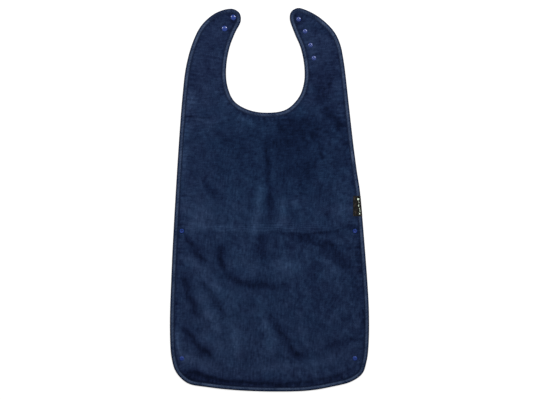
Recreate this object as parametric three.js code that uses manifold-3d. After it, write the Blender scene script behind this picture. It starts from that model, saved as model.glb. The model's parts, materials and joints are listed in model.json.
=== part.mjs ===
// A long cloth bib for an adult, lying face up: a pile face fabric over a coated backing, bound all
// round with tape, with press snaps on both neck tabs and in two rows that close a catch pocket.
// Millimetres, +Z up out of the front, +Y towards the neck. The origin is on the surface that the
// bib lies on, under the middle of its outline.
import * as THREE from "three";
import { mergeVertices } from "three/addons/utils/BufferGeometryUtils.js";
import Module from "manifold-3d";

const wasm = await Module();
wasm.setup();

// --- Driving dimensions -------------------------------------------------------------------------

const THICKNESS = 4; // whole sandwich, away from the snaps
const LAYER_GAP = 0.3; // air between two layers of cloth
const FOLD_GAP = 0.3; // slit between two panels at a fold line

const TAPE = 0.4; // binding tape
const BINDING_WIDTH = 9.5; // how far the tape reaches in from the edge
const BACKING = 1; // coated backing, lying flat
const BACKING_EDGE = 0.3; // coated backing where the tape grips it
const FACE_EDGE = 2; // pile fabric where the tape grips it

const THREAD = 0.5; // width of the seam's line of thread
const THREAD_HEIGHT = 0.3;
const THREAD_INSET = 7.8; // the seam's distance from the edge
const CONTACT_GAP = 0.1; // between a hard piece and the cloth that it lies on

const POCKET_FOLD_Y = -209; // the hem folds up here and makes the pocket
const HALF_FOLD_Y = -52; // the bib folds in half here for storage
const TAB_FOLD_Y = 279; // the neck tabs fold down here
const TAB_SIDE_X = -10; // between the left tab and the right one
const SIDE_STRIP_X = 130; // the sides' binding lies outside this, the neckline's inside it

const LABEL = { left: 184, bottom: -36, top: 9, thickness: 0.4 }; // sewn onto the right edge

const SNAP_SIDES = 14; // facets round each snap piece
const WEB = 0.7; // pile fabric crushed between the two halves of a snap
const BOSS_PLATE = 0.3; // backing crushed between the two halves of a snap
const POST_RADIUS = 0.9;
const POST_LENGTH = 2.4;
const HOLE_RADIUS = 1.2; // the holes that the posts pass through
const CAP_RADIUS = 6;
const CAP_HEIGHT = 1.4;
const SOCKET_RADIUS = 5;
const SOCKET_HEIGHT = 2.6;
const STUD_RADIUS = 5;
const STUD_FLANGE = 0.9;
const KNOB_HEIGHT = 1.8; // of a stud, above its flange
const KNOB_RADIUS = 2.3;
const LIP_RADIUS = 2.5; // the mouth of a socket, which springs over the knob
const BORE_RADIUS = 1.1; // the hole in a stud or socket that holds the cap's post
const BOSS_WALL = 0.6;

// Height of the back half's seat: low where a cap lies underneath, high where a socket does.
const LOW_SEAT = CAP_HEIGHT;
const HIGH_SEAT = SOCKET_HEIGHT;

// The outline as it lies, anticlockwise from the middle of the hem. Neither half mirrors the other,
// because the cloth was laid down by hand.
const OUTLINE = {
  hem: [[10, -421.5], [85, -419.4], [140, -410.3]],
  rightCorner: [[181, -399], [204, -382], [213, -357]],
  rightSide: [[217.5, -323], [218.5, -245], [212, -138], [205.5, -59], [198.5, 20], [190.5, 73]],
  rightShoulder: [[178, 174], [168, 267], [162.5, 308], [155, 343], [141, 371]],
  rightTip: [[113, 398.5], [84, 415.5], [62, 421.4], [48, 413], [45, 398]],
  rightTab: [[55, 367.5], [69, 334], [77, 293], [76, 256]],
  neckline: [[64, 224], [36, 198], [-5, 191.2], [-46, 197.5], [-78, 217]],
  leftTab: [[-93, 251], [-95.5, 290], [-88, 335], [-75, 369]],
  leftTip: [[-63.5, 393], [-66, 410], [-81, 419.5], [-115, 412], [-148, 385]],
  leftShoulder: [[-168, 347], [-183, 293], [-191, 227], [-197, 152]],
  leftSide: [[-205.5, 20], [-214, -138], [-218.5, -285], [-215, -347]],
  leftCorner: [[-205, -379], [-180, -403], [-140, -411.3], [-70, -418.7]],
};
const FINE_STEPS = 24; // samples between two neighbouring points of the outline
const SAG = 0.2; // how far a straight facet may stray from the true curve

// Press snaps: where each one is, which body it belongs to, and what shows on its front. The row at
// the hem is the waist row's mirror image in the pocket fold, so that the two rows meet.
const WAIST_ROW_Y = -69;
const HEM_ROW_Y = 2 * POCKET_FOLD_Y - WAIST_ROW_Y;
const LEFT_ROW_X = -192.6;
const RIGHT_ROW_X = 188;
const SNAPS = [
  { name: "left_tab_snap_1", body: "left_tab", x: -79.5, y: 400.8, front: "cap" },
  { name: "left_tab_snap_2", body: "left_tab", x: -98.7, y: 376.3, front: "cap" },
  { name: "right_tab_snap_1", body: "right_tab", x: 64.1, y: 397, front: "stud" },
  { name: "right_tab_snap_2", body: "right_tab", x: 78.4, y: 370.4, front: "stud" },
  { name: "right_tab_snap_3", body: "right_tab", x: 90.3, y: 340, front: "stud" },
  { name: "right_tab_snap_4", body: "right_tab", x: 97.6, y: 311.4, front: "stud" },
  { name: "waist_snap_left", body: "lap", x: LEFT_ROW_X, y: WAIST_ROW_Y, front: "socket" },
  { name: "waist_snap_right", body: "lap", x: RIGHT_ROW_X, y: WAIST_ROW_Y, front: "socket" },
  { name: "hem_snap_left", body: "pocket", x: LEFT_ROW_X, y: HEM_ROW_Y, front: "stud" },
  { name: "hem_snap_right", body: "pocket", x: RIGHT_ROW_X, y: HEM_ROW_Y, front: "stud" },
];

// --- Materials ----------------------------------------------------------------------------------

const cloth = (color, roughness) => new THREE.MeshStandardMaterial({ color, roughness, metalness: 0 });
const MATERIALS = {
  pile: cloth(0x1d2b47, 0.95),
  backing: cloth(0x22304c, 0.55),
  tape: cloth(0x2c3a58, 0.45),
  thread: cloth(0x1a2440, 0.7),
  label: cloth(0x14120f, 0.8),
  snap: cloth(0x2b3a8c, 0.2),
};

// --- Joining and cutting ------------------------------------------------------------------------

function toSolid(geometry) {
  const bare = geometry.clone();
  bare.deleteAttribute("normal");
  bare.deleteAttribute("uv");
  const merged = mergeVertices(bare, 1e-4);
  return new wasm.Manifold(
    new wasm.Mesh({
      numProp: 3,
      vertProperties: merged.getAttribute("position").array,
      triVerts: new Uint32Array(merged.index.array),
    }),
  );
}

function toGeometry(solid) {
  const mesh = solid.getMesh();
  return new THREE.BufferGeometry()
    .setAttribute("position", new THREE.BufferAttribute(mesh.vertProperties, 3))
    .setIndex(new THREE.BufferAttribute(mesh.triVerts, 1));
}

// --- Flat shapes --------------------------------------------------------------------------------

/** Places round the edge with their inward directions, closer together where the edge turns faster. */
function placesRoundEdge() {
  const anchors = Object.values(OUTLINE).flat();
  const curve = new THREE.CatmullRomCurve3(
    anchors.map(([x, y]) => new THREE.Vector3(x, y, 0)),
    true,
    "centripetal",
  );
  const samples = curve.getPoints(anchors.length * FINE_STEPS).slice(0, -1);
  const places = [];
  let turn = 0;
  samples.forEach((point, i) => {
    const behind = point.clone().sub(samples.at(i - 1));
    const ahead = samples[(i + 1) % samples.length].clone().sub(point);
    turn += behind.angleTo(ahead);
    const chord = places.length ? point.distanceTo(places.at(-1).point) : Infinity;
    if (chord * turn < 8 * SAG) return; // a shallow arc stands off its chord by an eighth of this
    turn = 0;
    places.push({ point, inward: new THREE.Vector2(-ahead.y, ahead.x).normalize() });
  });
  return places;
}

const EDGE = placesRoundEdge();

/** The outline moved inwards by a distance. */
function inset(distance) {
  return EDGE.map(({ point, inward }) =>
    new THREE.Vector2(point.x, point.y).addScaledVector(inward, distance),
  );
}

/** A flat solid of the outline, moved in by a distance, between two heights. */
function slab(distance, bottom, top) {
  const shape = new THREE.Shape(inset(distance));
  const depth = top - bottom;
  const flat = new THREE.ExtrudeGeometry(shape, { depth, bevelEnabled: false, curveSegments: 1 });
  return toSolid(flat.translate(0, 0, bottom));
}

/** An upright disc at a place, between two heights. */
function disc({ x, y }, radius, bottom, top) {
  const height = top - bottom;
  const geometry = new THREE.CylinderGeometry(radius, radius, height, SNAP_SIDES);
  return toSolid(geometry.rotateX(Math.PI / 2).translate(x, y, (bottom + top) / 2));
}

/** A box between two corners, which cuts out one panel's share of a layer. */
function block(left, right, near, far) {
  const tall = 20 * THICKNESS;
  const geometry = new THREE.BoxGeometry(right - left, far - near, tall);
  return toSolid(geometry.translate((left + right) / 2, (near + far) / 2, 0));
}

// --- The panels that the fold lines leave -------------------------------------------------------

const FAR = 600; // beyond the cloth on every side
const SLIT = FOLD_GAP / 2;
const ZONES = {
  chest: [-FAR, FAR, HALF_FOLD_Y + SLIT, TAB_FOLD_Y - SLIT],
  left_tab: [-FAR, TAB_SIDE_X, TAB_FOLD_Y + SLIT, FAR],
  right_tab: [TAB_SIDE_X, FAR, TAB_FOLD_Y + SLIT, FAR],
  lap: [-FAR, FAR, POCKET_FOLD_Y + SLIT, HALF_FOLD_Y - SLIT],
  pocket: [-FAR, FAR, -FAR, POCKET_FOLD_Y - SLIT],
};

/** A panel's share of the edge, between two sides and, if given, from near or up to far along Y. */
function stretch(body, left, right, { near = ZONES[body][2], far = ZONES[body][3] } = {}) {
  return { body, cut: block(left, right, near, far) };
}

const SHARED_STRETCHES = {
  neckline: stretch("chest", -SIDE_STRIP_X, SIDE_STRIP_X),
  chest_left: stretch("chest", -FAR, -SIDE_STRIP_X),
  left_tab: stretch("left_tab", -FAR, TAB_SIDE_X),
  right_tab: stretch("right_tab", TAB_SIDE_X, FAR),
  lap_left: stretch("lap", -FAR, 0),
  lap_right: stretch("lap", 0, FAR),
  pocket: stretch("pocket", -FAR, FAR),
};
const BINDING_STRETCHES = {
  ...SHARED_STRETCHES,
  chest_right: stretch("chest", SIDE_STRIP_X, FAR),
};
// The label covers part of the right side's seam, which shows above it and below it.
const SEAM_STRETCHES = {
  ...SHARED_STRETCHES,
  above_label: stretch("chest", SIDE_STRIP_X, FAR, { near: LABEL.top + LAYER_GAP }),
  below_label: stretch("chest", SIDE_STRIP_X, FAR, { far: LABEL.bottom - LAYER_GAP }),
};

const bodies = Object.fromEntries(Object.keys(ZONES).map((name) => [name, new THREE.Group()]));

function addCloth(body, name, solid, material) {
  const mesh = new THREE.Mesh(toGeometry(solid), material);
  mesh.name = name;
  bodies[body].add(mesh);
}

// --- Seats for the snaps ------------------------------------------------------------------------

/** The heights and radii of the dimple that one snap pulls into the cloth. */
function seatOf({ front }) {
  const socketBehind = front === "cap";
  const seat = socketBehind ? HIGH_SEAT : LOW_SEAT;
  const plate = seat + CONTACT_GAP;
  const web = plate + BOSS_PLATE + LAYER_GAP;
  return {
    seat,
    plate,
    web,
    frontSeat: web + WEB + CONTACT_GAP,
    radius: (socketBehind ? SOCKET_RADIUS : CAP_RADIUS) + LAYER_GAP,
  };
}

/** Raises the backing into a cup round each snap, open underneath, with a hole for the post. */
function dimpleBacking(solid, snaps) {
  for (const snap of snaps) {
    const { plate, radius } = seatOf(snap);
    solid = solid
      .add(disc(snap, radius + BOSS_WALL, 0, plate + BOSS_PLATE))
      .subtract(disc(snap, radius, -1, plate))
      .subtract(disc(snap, HOLE_RADIUS, -1, THICKNESS));
  }
  return solid;
}

/** Thins the pile fabric to a web over each cup, with a hole for the post. */
function dimpleFace(solid, snaps) {
  for (const snap of snaps) {
    const { web, radius } = seatOf(snap);
    solid = solid
      .subtract(disc(snap, radius + BOSS_WALL + LAYER_GAP, 0, web))
      .subtract(disc(snap, STUD_RADIUS + BOSS_WALL, web + WEB, 2 * THICKNESS))
      .subtract(disc(snap, HOLE_RADIUS, 0, 2 * THICKNESS));
  }
  return solid;
}

// --- Layers of cloth ----------------------------------------------------------------------------

const inside = BINDING_WIDTH + LAYER_GAP;
const gripped = TAPE + LAYER_GAP;
const faceBottom = BACKING + LAYER_GAP;

const backingLayer = slab(inside, 0, BACKING).add(slab(gripped, BACKING - BACKING_EDGE, BACKING));
const faceLayer = slab(inside, faceBottom, THICKNESS).add(
  slab(gripped, faceBottom, faceBottom + FACE_EDGE),
);

for (const [body, zone] of Object.entries(ZONES)) {
  const own = SNAPS.filter((snap) => snap.body === body);
  const cut = block(...zone);
  addCloth(body, `backing_${body}`, dimpleBacking(backingLayer.intersect(cut), own), MATERIALS.backing);
  addCloth(body, `face_${body}`, dimpleFace(faceLayer.intersect(cut), own), MATERIALS.pile);
}

// --- Binding and its seam -----------------------------------------------------------------------

const bindingLoop = slab(0, 0, THICKNESS)
  .subtract(slab(TAPE, TAPE, THICKNESS - TAPE))
  .subtract(slab(BINDING_WIDTH, -THICKNESS, 2 * THICKNESS));

const seamBottom = THICKNESS + CONTACT_GAP;
const seamLoop = slab(THREAD_INSET - THREAD / 2, seamBottom, seamBottom + THREAD_HEIGHT).subtract(
  slab(THREAD_INSET + THREAD / 2, 0, 2 * THICKNESS),
);

for (const [name, { body, cut }] of Object.entries(BINDING_STRETCHES)) {
  addCloth(body, `binding_${name}`, bindingLoop.intersect(cut), MATERIALS.tape);
}
for (const [name, { body, cut }] of Object.entries(SEAM_STRETCHES)) {
  addCloth(body, `seam_thread_${name}`, seamLoop.intersect(cut), MATERIALS.thread);
}

// --- Woven label on the right edge --------------------------------------------------------------

const labelBottom = THICKNESS + CONTACT_GAP;
const label = slab(0, labelBottom, labelBottom + LABEL.thickness).intersect(
  block(LABEL.left, FAR, LABEL.bottom, LABEL.top),
);
addCloth("chest", "side_label", label, MATERIALS.label);

// --- Snap pieces --------------------------------------------------------------------------------

/** A turned piece from [radius, height] points, standing on the plane where it meets the cloth. */
function turned(points) {
  const profile = points.map(([r, z]) => new THREE.Vector2(r, z));
  return new THREE.LatheGeometry(profile, SNAP_SIDES).rotateX(Math.PI / 2);
}

function capGeometry() {
  const rim = 0.5;
  const steps = 3;
  const dome = [];
  for (let i = 0; i < steps; i++) {
    const turn = (i / steps) * (Math.PI / 2);
    dome.push([CAP_RADIUS * Math.cos(turn), rim + (CAP_HEIGHT - rim) * Math.sin(turn)]);
  }
  return turned([
    [0, -POST_LENGTH],
    [POST_RADIUS, -POST_LENGTH],
    [POST_RADIUS, 0],
    [CAP_RADIUS, 0],
    ...dome,
    [0, CAP_HEIGHT],
  ]);
}

function socketGeometry() {
  const floor = 0.7;
  const cavity = 2.9;
  return turned([
    [BORE_RADIUS, 0],
    [SOCKET_RADIUS, 0],
    [SOCKET_RADIUS, SOCKET_HEIGHT - 0.7],
    [SOCKET_RADIUS - 0.8, SOCKET_HEIGHT],
    [LIP_RADIUS, SOCKET_HEIGHT],
    [LIP_RADIUS, SOCKET_HEIGHT - 0.5],
    [cavity, SOCKET_HEIGHT - 1],
    [cavity, floor],
    [BORE_RADIUS, floor],
    [BORE_RADIUS, 0],
  ]);
}

function studGeometry() {
  const knobTop = STUD_FLANGE + KNOB_HEIGHT;
  const neck = KNOB_RADIUS - 0.3;
  return turned([
    [BORE_RADIUS, 0],
    [STUD_RADIUS, 0],
    [STUD_RADIUS - 0.4, STUD_FLANGE],
    [neck, STUD_FLANGE],
    [KNOB_RADIUS, knobTop - 0.7],
    [KNOB_RADIUS - 0.3, knobTop],
    [BORE_RADIUS, knobTop],
    [BORE_RADIUS, 0],
  ]);
}

const SNAP_GEOMETRY = { cap: capGeometry(), socket: socketGeometry(), stud: studGeometry() };

function addSnapPiece(snap, kind, height, facingDown) {
  const mesh = new THREE.Mesh(SNAP_GEOMETRY[kind], MATERIALS.snap);
  mesh.name = `${snap.name}_${kind}`;
  mesh.position.set(snap.x, snap.y, height);
  mesh.rotation.x = facingDown ? Math.PI : 0;
  bodies[snap.body].add(mesh);
}

for (const snap of SNAPS) {
  const { seat, frontSeat } = seatOf(snap);
  addSnapPiece(snap, snap.front, frontSeat, false);
  addSnapPiece(snap, snap.front === "cap" ? "socket" : "cap", seat, true);
}

// --- The bib ------------------------------------------------------------------------------------

const bib = new THREE.Group();
for (const group of Object.values(bodies)) bib.add(group);

export default bib;
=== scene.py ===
"""A long cloth bib for an adult, laid out face up on a pale floor.

The CAD frame gives the outline, the fold lines and the places of the snaps. This script makes the
cloth, the binding, the stitches, the label and the snaps around them. Shapes are worked out in
millimetres and turned into metres when a mesh is made.
"""

import json
import math

import bpy
import numpy as np
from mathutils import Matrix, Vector
from mathutils.kdtree import KDTree

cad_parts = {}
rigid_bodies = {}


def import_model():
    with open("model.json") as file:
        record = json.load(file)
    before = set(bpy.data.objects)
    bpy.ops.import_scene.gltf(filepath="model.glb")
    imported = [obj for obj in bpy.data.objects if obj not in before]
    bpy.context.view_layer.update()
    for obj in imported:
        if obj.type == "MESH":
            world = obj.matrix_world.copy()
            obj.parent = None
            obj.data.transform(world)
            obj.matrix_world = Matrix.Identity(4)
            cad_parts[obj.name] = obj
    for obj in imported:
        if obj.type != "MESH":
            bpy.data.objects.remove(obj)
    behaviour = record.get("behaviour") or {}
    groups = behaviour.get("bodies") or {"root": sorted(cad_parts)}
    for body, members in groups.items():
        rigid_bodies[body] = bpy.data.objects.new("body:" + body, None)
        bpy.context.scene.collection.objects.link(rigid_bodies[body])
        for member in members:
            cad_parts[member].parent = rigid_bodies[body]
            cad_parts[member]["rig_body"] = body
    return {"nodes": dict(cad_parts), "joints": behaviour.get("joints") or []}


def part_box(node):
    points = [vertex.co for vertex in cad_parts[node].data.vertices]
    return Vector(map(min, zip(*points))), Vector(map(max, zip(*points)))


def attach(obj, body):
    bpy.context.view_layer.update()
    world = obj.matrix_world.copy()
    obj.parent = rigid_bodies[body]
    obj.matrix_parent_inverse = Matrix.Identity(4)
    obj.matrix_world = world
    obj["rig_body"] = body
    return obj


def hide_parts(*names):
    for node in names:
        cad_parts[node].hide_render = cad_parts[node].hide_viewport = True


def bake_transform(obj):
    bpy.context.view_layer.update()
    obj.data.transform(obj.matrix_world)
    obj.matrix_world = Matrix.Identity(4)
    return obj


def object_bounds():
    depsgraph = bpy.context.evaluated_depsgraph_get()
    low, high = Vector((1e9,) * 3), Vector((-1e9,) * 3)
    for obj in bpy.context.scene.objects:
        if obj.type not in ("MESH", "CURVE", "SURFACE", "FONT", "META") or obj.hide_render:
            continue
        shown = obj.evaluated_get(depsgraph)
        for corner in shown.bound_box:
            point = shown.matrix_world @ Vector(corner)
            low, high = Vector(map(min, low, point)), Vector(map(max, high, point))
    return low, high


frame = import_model()
CAD_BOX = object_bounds()

MM = 0.001
NODES = frame["nodes"]
JOINTS = {joint["name"]: joint for joint in frame["joints"]}
FOLD_Y = [joint["pos_m"][1] / MM for joint in JOINTS.values()]

# --- Sizes, in millimetres ---

THICKNESS = 4.0  # face and backing together, away from the snaps and the tape
NAP_TOP = THICKNESS - 0.15  # the nap's usual height
UNDER_TAPE = 2.5  # the face's height where the tape squeezes it
OVER_TAPE = 0.42  # the backing's height where the tape's back leg is under it
TAPE_REACH = 9.5  # how far the tape reaches in from the edge
SEAM_INSET = 7.8  # the stitches' distance from the edge
CLOTH_INSET = 3.5  # the cloth's own cut edge, hidden inside the tape
GRID = 1.5  # spacing of the cloth's vertices
EDGE_STEP = 1.0  # spacing of the binding's cross-sections

MIDDLE_TOP = 110.0  # where the middle and upper pieces of cloth meet
MIDDLE_BOTTOM = -130.0  # where the middle and lower pieces meet
CENTRE_X = -4.0  # where the two upper pieces meet, along the lengthwise crease

RIB_PITCH = 6.4  # the slanting puckers that sewing leaves in the tape
RIB_SLANT = 0.9
TIP_Y = 402.0  # the tape is darker round the tabs' tips, above this

STITCH_PITCH = 3.2
STITCH_LENGTH = 2.4
STITCH_RADIUS = 0.26
STITCH_ROWS = [(3.12, 1), (0.22, -0.3)]  # in front and behind: height, and how the ends dip

SNAP_SEGMENTS = 48
SNAP_SHARP = math.radians(50)  # edges of a snap piece that bend more than this stay sharp
SNAP_CALM = 24.0  # nearer to a snap than this, the cloth comes down to lie on the floor
# Where a snap pulls the cloth in: the hollow's radius, and its height at a cap in front and at
# another piece in front.
FACE_HOLLOW = (5.4, 3.95, 2.75)
BACK_HOLLOW = (6.3, 2.72, 1.52)
HOLLOW_SLOPE = 3.2  # the width of the slope round a hollow
# Each snap piece's outline, from its middle over its front and back to its middle: (radius, height).
SNAP_PROFILES = {
    "cap": [(0, 1.4), (1.2, 1.36), (2.4, 1.25), (3.4, 1.07), (4.3, 0.84), (5.1, 0.56),
            (5.7, 0.3), (5.95, 0.1), (6.0, -0.02), (5.9, -0.12), (5.6, -0.18), (0, -0.18)],
    "socket": [(0, 1.0), (0.7, 0.95), (1.05, 0.7), (2.5, 0.7), (2.7, 0.9), (2.75, 1.6),
               (2.85, 2.15), (3.1, 2.48), (3.5, 2.6), (3.9, 2.48), (4.25, 2.1), (4.45, 1.5),
               (4.6, 0.9), (4.85, 0.6), (5.0, 0.2), (4.85, -0.1), (0, -0.1)],
    "stud": [(0, 1.5), (0.6, 1.52), (0.95, 1.75), (1.15, 2.2), (1.35, 2.52), (1.7, 2.68),
             (2.1, 2.56), (2.35, 2.2), (2.38, 1.8), (2.2, 1.45), (2.3, 1.2), (2.9, 1.12),
             (3.6, 0.98), (4.2, 0.74), (4.7, 0.42), (4.95, 0.15), (4.85, -0.1), (0, -0.1)],
}

# The tape's cross-section from its inner edge in front, round the rolled edge, to its inner edge
# behind: (distance in from the outline, height).
TAPE_SECTION = np.array([
    (9.7, 2.4), (9.65, 3.2), (9.3, 3.52), (8.8, 3.46), (8.3, 3.2), (7.8, 3.0), (7.3, 3.22),
    (6.7, 3.55), (5.9, 3.78), (4.9, 3.88), (3.9, 3.85), (3.0, 3.7), (2.2, 3.45), (1.4, 3.1),
    (0.5, 2.6), (-0.15, 2.05), (-0.4, 1.5), (-0.25, 0.95), (0.3, 0.45), (1.1, 0.14), (2.2, 0.0),
    (4.5, 0.0), (6.8, 0.0), (7.4, 0.14), (7.8, 0.25), (8.2, 0.14), (8.8, 0.0), (9.4, 0.0),
    (9.6, 0.55),
])
# How far each point of the section is along the tape's width, as it was before it was folded.
UNROLLED = np.append(0, np.cumsum(np.linalg.norm(np.diff(TAPE_SECTION, axis=0), axis=1)))

# --- How the cloth lies ---

# Soft folds: the line along each one's shaded side, with its crest to the left of the line's way,
# how high the cloth stands, how wide the fold is, and how much painted shade lies along that side.
FOLDS = [
    ([(-182, -78), (-172, -100), (-156, -124), (-138, -142)], 2.2, 14, 1.9),
    ([(-109, -88), (-106, -125), (-95, -160), (-70, -181), (-34, -187), (44, -187)], 2.4, 15, 2.0),
    ([(-193, -158), (-182, -194), (-170, -226), (-152, -262)], 2.4, 15, 2.2),
    ([(-154, -172), (-132, -200), (-106, -244), (-94, -268)], 2.0, 12, 1.2),
    ([(-199, -268), (-178, -296), (-157, -321), (-138, -338), (-118, -354)], 2.4, 14, 2.4),
    ([(-6, -243), (15, -275), (35, -305), (56, -335), (80, -352)], 2.2, 13, 1.7),
    ([(-198, -370), (-150, -385), (-108, -396), (-50, -401), (10, -405), (70, -404)], 1.4, 9, 2.3),
    ([(30, -405), (84, -402), (150, -388), (196, -362)], 1.2, 10, 1.3),
    ([(-30, -72), (50, -73), (110, -71), (150, -66), (196, -50)], 0.7, 8, 0.7),
    ([(106, 132), (113, 108), (118, 84)], 0.8, 6, 1.2),
    ([(-196, 186), (-165, 180), (-120, 186)], 0.8, 5, 0.7),
    ([(-150, 160), (-90, 172), (-30, 168)], 0.7, 5, 0.5),
    ([(-40, 178), (20, 172), (70, 178)], 0.7, 5, 0.6),
    ([(10, 158), (70, 150), (120, 160)], 0.7, 6, 0.5),
    ([(120, 225), (150, 214), (176, 208)], 0.7, 5, 0.6),
]

# Long strokes of lighter (above 0) or darker colour: line, half width and strength. They are partly
# nap that lies lighter or darker, and partly painted light and shade on fold flanks and thin wrinkles.
STROKES = [
    ([(-180, 250), (-186, 200), (-192, 140), (-194, 60), (-198, -20)], 12, 1.4),
    ([(-30, 50), (-20, 18), (-21, -12), (-30, -42), (-34, -72), (-44, -112)], 9, 1.6),
    ([(24, 10), (29, -22), (20, -66)], 10, 1.6),
    ([(58, 2), (62, -24)], 9, 1.2),
    ([(-196, -112), (-152, -152), (-108, -200), (-60, -240)], 14, 1.3),
    ([(-158, -190), (-134, -244), (-108, -296)], 13, 1.5),
    ([(-24, -205), (-18, -235), (-14, -262)], 10, 0.9),
    ([(-109, -90), (-107, -125), (-100, -156)], 8, -1.3),
    ([(-70, -370), (10, -370), (60, -366), (120, -356), (190, -338)], 11, 1.3),
    ([(-180, -350), (-150, -366), (-110, -372)], 10, 0.8),
    ([(-75, -275), (-77, -345)], 8, 1.1),
    ([(-12, -258), (-2, -300), (8, -352)], 15, 1.4),
    ([(-208, -280), (-198, -325), (-178, -358)], 9, 1.9),
    ([(-176, 245), (-172, 205)], 14, 1.0),
    ([(-170, 180), (-130, 172), (-92, 178)], 5, 0.8),
    ([(-62, 172), (-34, 168)], 6, 1.4),
    ([(110, -122), (138, -148), (150, -172)], 9, 1.0),
    ([(-180, -58), (-60, -60), (60, -58)], 7, 0.9),
    ([(-5, 160), (-5, 100), (-2, 55), (0, 20), (1, -20), (0, -80)], 6, -1.4),
    ([(-22, -72), (-20, -100), (-12, -138)], 15, -1.7),
    ([(24, -74), (70, -86), (112, -96), (138, -112), (160, -138), (184, -166)], 13, -1.6),
    ([(60, -74), (120, -70), (190, -60)], 8, -1.2),
    ([(5, 156), (40, 160), (66, 152), (112, 142)], 10, -0.8),
    ([(118, 206), (130, 190), (144, 172), (164, 150)], 11, -1.9),
    ([(-144, 54), (-134, 24), (-112, 10), (-92, -4)], 8, -1.2),
    ([(112, -326), (160, -316), (208, -300)], 8, -1.7),
    ([(-100, 148), (-100, 120)], 12, -1.0),
    ([(-30, -188), (10, -190), (44, -186)], 8, -1.0),
    ([(-205, -38), (-188, -36), (-172, -38)], 1.7, -1.5),
    ([(-205, -47), (-188, -44), (-168, -47)], 1.7, -1.6),
    ([(-204, -58), (-190, -54), (-174, -57)], 1.9, -1.8),
    ([(-203, -66), (-201, -86)], 2.6, -1.5),
    ([(-184, -72), (-180, -96)], 3.0, -1.7),
    ([(198, -40), (198, -80)], 3.0, -1.2),
    ([(8, -61), (40, -62.5), (64, -61)], 1.3, 1.2),
    ([(-132, -55), (-104, -58), (-80, -59)], 1.3, 1.2),
    ([(-140, -62), (-118, -66), (-90, -72)], 1.3, 0.9),
    ([(-204, -288), (-199, -322), (-189, -350)], 2.2, 1.6),
    ([(-190, 186), (-172, 182), (-156, 183)], 1.5, -1.4),
    ([(-186, 176), (-160, 172)], 1.5, -1.2),
]

WANDER = 2.0  # how far the lines of folds stray from their smooth curves
STEEP, GENTLE = 0.55, 1.5  # how far a fold's two flanks reach, as shares of its width

# Creases pressed in by packing: depth, half width, how much the cloth stands up beside them, how
# wide that is, and the painted shade along each one (below 0, painted light along a lit ridge).
CREASES = [
    {"line": [(-5, 166), (-6, 100), (-2, 55), (1, 20), (3, -20), (0, -90)],
     "depth": 0.5, "width": 3.5, "beside": 0.8, "reach": 16, "shade": 0.6},
    {"line": [(-150, -56), (-118, -61), (-100, -67), (0, -68.5), (100, -68), (150, -64), (176, -52)],
     "depth": -0.3, "width": 1.4, "beside": 0.3, "reach": 9, "shade": -1.5},
]
# Fine parallel lines that the same packing left above the crosswise crease.
STREAK_BOTTOM, STREAK_TOP = -66.0, -46.0
STREAK_PITCH, STREAK_HEIGHT = 4.2, 0.22
STREAK_REACH = 150.0  # how far they run to each side

# Patches of lighter or darker colour: centre, half width, half height and strength. They are partly
# nap that lies lighter or darker, and partly painted shade along folds and the hem.
PATCHES = [
    (-150, -25, 46, 34, 1.7), (158, -22, 18, 24, 1.7), (40, -146, 28, 19, 2.4),
    (-62, -132, 30, 22, 1.0), (-75, -320, 14, 40, 0.8), (36, -231, 6, 6, 1.6),
    (-185, -345, 14, 12, 1.0), (-120, -320, 24, 24, 0.7), (110, 320, 20, 30, 0.5),
    (-170, -60, 20, 12, 1.0), (90, -60, 40, 8, 0.6), (-195, 100, 12, 40, 1.0),
    (45, 128, 38, 26, -1.6), (105, 142, 26, 16, -1.2), (80, 170, 60, 14, -1.3),
    (85, 72, 20, 24, -1.4), (45, 70, 36, 40, -0.9), (140, 255, 24, 60, -0.6),
    (110, 235, 18, 26, -0.8), (-40, 140, 50, 16, -0.6), (-70, 95, 40, 40, -0.5),
    (130, -32, 8, 12, -1.5), (105, -215, 12, 26, -0.9), (140, -220, 14, 20, -0.9),
    (192, -208, 12, 22, -0.9), (206, -262, 8, 22, -1.4), (130, 78, 22, 14, -0.6),
    (100, -150, 20, 12, -0.6), (-45, -12, 6, 12, -1.2), (120, 20, 24, 20, -0.4),
    (200, -140, 12, 40, -1.0), (0, -402, 190, 10, -0.6), (-150, 70, 40, 30, -0.4),
    (60, 115, 62, 50, -0.7), (50, 176, 52, 13, -0.7), (116, 228, 26, 46, -0.4),
    (128, 285, 24, 44, -0.6), (-100, -290, 72, 84, 0.6), (-143, -336, 12, 12, -0.9),
    (62, -339, 18, 8, -1.3), (92, -172, 16, 12, -0.9), (116, -164, 9, 12, 1.0),
    (152, -242, 9, 14, 0.8), (76, -300, 12, 14, 0.7), (28, -236, 8, 8, 0.8),
    (-52, -150, 22, 16, 0.8), (60, -90, 40, 14, -0.4), (172, -104, 30, 20, -0.6),
    (182, -140, 22, 26, -0.5), (-70, 100, 60, 50, -0.35), (62, 36, 50, 30, -0.5),
    (130, 365, 30, 30, -0.3), (-140, 330, 40, 60, -0.3), (158, 250, 12, 44, 0.9),
    (162, 125, 20, 50, -1.1), (-130, 0, 22, 24, -0.7), (-64, -10, 24, 28, 0.9),
    (-165, -396, 42, 13, -1.7), (-100, -406, 50, 8, -1.0), (172, -390, 34, 16, -0.5),
    (108, 270, 18, 34, -0.5), (-145, -355, 34, 12, 0.6),
    (58, 396, 16, 18, -1.6), (-78, 402, 18, 16, -1.7), (-90, 382, 14, 14, -0.8),
    (-180, -386, 22, 14, -1.0),
]

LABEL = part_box("side_label")


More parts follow.
